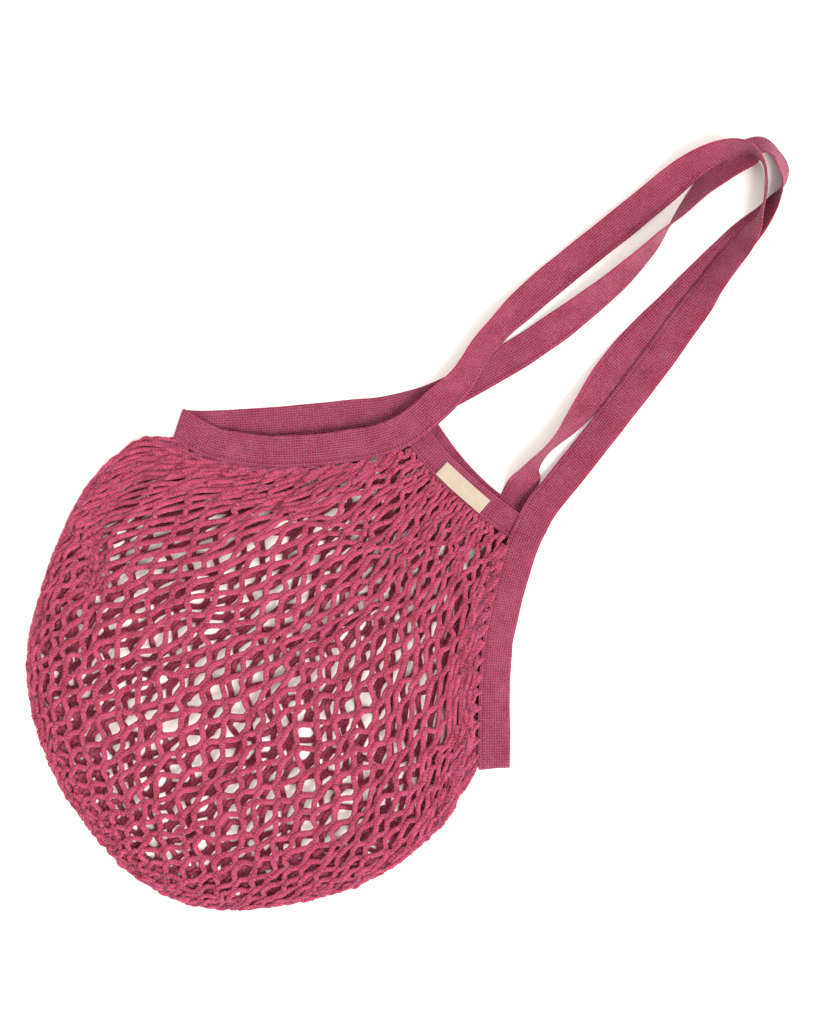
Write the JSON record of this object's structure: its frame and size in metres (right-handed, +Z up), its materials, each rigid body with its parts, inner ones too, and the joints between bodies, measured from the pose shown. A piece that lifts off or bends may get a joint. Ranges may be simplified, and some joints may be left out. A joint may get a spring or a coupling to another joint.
{
  "type": "crochet net shopping bag",
  "caption": "Open-meshed cotton net shopping bag lying flat, its mouth bound with ribbed tape that runs on as two long shoulder handles.",
  "frame": {"origin": "centre of the bounding box in plan, on the surface that the bag lies on", "axes": "+Z up from that surface, +Y from the bottom of the pouch towards the tips of the handles, +X along the mouth"},
  "size_m": [0.4252, 0.824, 0.0376],
  "materials": {
    "net": "matte cotton yarn",
    "tape": "matte ribbed cotton tape",
    "label": "matte plain-woven cotton"
  },
  "bodies": {
    "root": {"net_body": "net", "front_band": "tape", "back_band": "tape", "handle_tape": "tape", "label": "label"}
  },
  "joints": []
}
